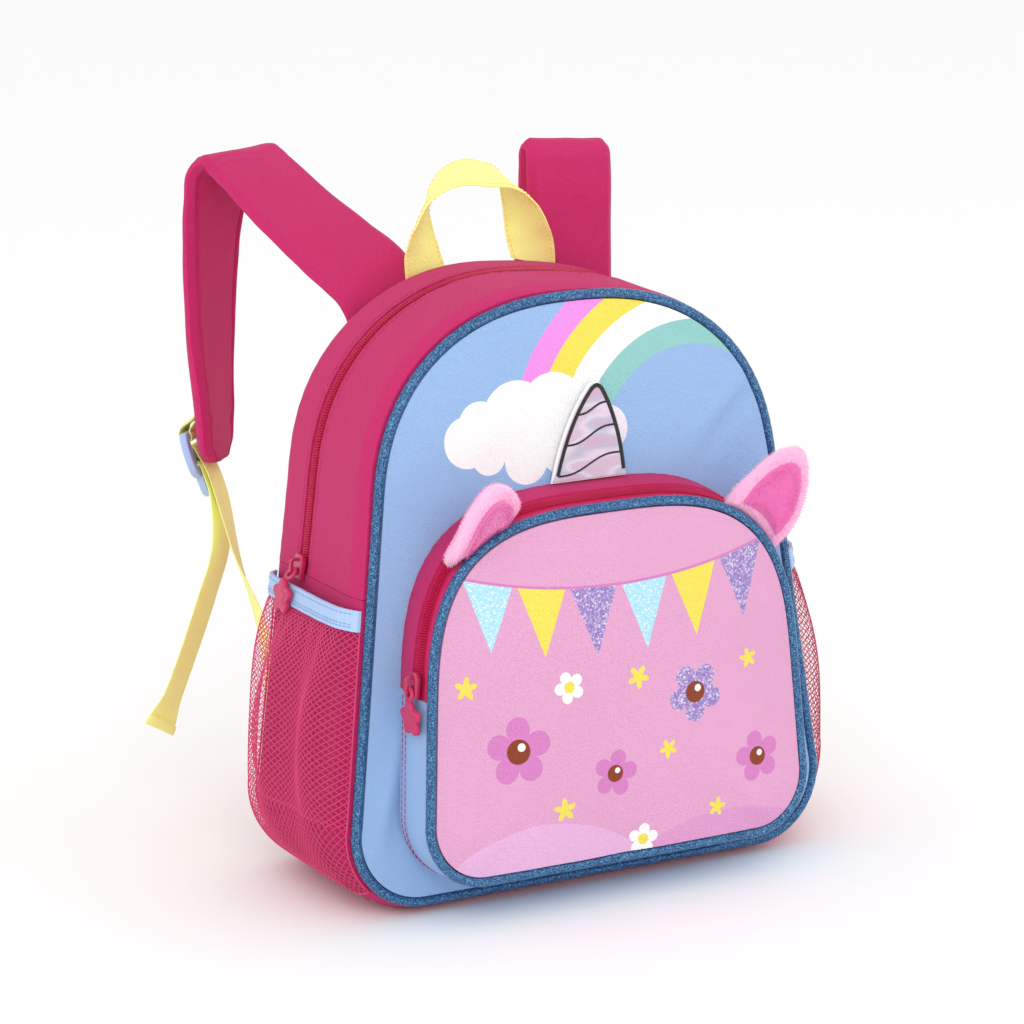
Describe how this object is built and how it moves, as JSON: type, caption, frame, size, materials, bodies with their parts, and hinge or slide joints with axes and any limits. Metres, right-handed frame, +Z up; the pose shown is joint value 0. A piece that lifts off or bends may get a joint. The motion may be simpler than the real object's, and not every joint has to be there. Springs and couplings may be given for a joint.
{
  "type": "backpack",
  "caption": "Small child's backpack with an arched body, a zipped front pocket, net side pockets, padded straps, a carrying loop, two plush ears and a horn.",
  "frame": {"origin": "on the floor under the middle of the main compartment", "axes": "+Z up, -Y towards the front pocket, +X to the right of someone who looks at the front"},
  "size_m": [0.2996, 0.2838, 0.3508],
  "materials": {
    "magenta_cloth": "plain-woven polyester cloth",
    "blue_cloth": "plain-woven polyester cloth with a print",
    "pink_cloth": "plain-woven polyester cloth with a print",
    "glitter_piping": "coated glitter piping",
    "zip_coil": "nylon coil zip on woven tape",
    "zip_slider": "painted zip slider",
    "zip_pull": "soft moulded pull",
    "net": "knitted mesh",
    "elastic": "woven elastic band",
    "webbing": "ribbed polyester webbing",
    "buckle_plastic": "moulded plastic",
    "horn_foam": "felt-faced foam",
    "horn_foil": "pale iridescent foil cloth",
    "ear_plush": "short-pile plush",
    "ear_lining_plush": "short-pile plush"
  },
  "bodies": {
    "root": {"gusset_base": "magenta_cloth", "gusset_zip_front": "magenta_cloth", "gusset_zip_rear": "magenta_cloth", "pocket_gusset_rear": "magenta_cloth", "pocket_gusset_front": "magenta_cloth", "back_panel": "magenta_cloth", "shoulder_strap_left": "magenta_cloth", "shoulder_strap_right": "magenta_cloth", "front_panel": "blue_cloth", "pocket_gusset_base": "blue_cloth", "pocket_panel": "pink_cloth", "main_piping": "glitter_piping", "pocket_piping": "glitter_piping", "main_zip": "zip_coil", "pocket_zip": "zip_coil", "main_zip_slider": "zip_slider", "pocket_zip_slider": "zip_slider", "main_zip_pull": "zip_pull", "pocket_zip_pull": "zip_pull", "net_pocket_left": "net", "net_pocket_right": "net", "elastic_left": "elastic", "elastic_right": "elastic", "handle": "webbing", "webbing_left": "webbing", "webbing_right": "webbing", "buckle_loop_left": "webbing", "buckle_loop_right": "webbing", "buckle_left": "buckle_plastic", "buckle_right": "buckle_plastic", "horn_backing": "horn_foam", "horn_face": "horn_foil", "ear_left": "ear_plush", "ear_right": "ear_plush", "ear_lining_left": "ear_lining_plush", "ear_lining_right": "ear_lining_plush"}
  },
  "joints": []
}
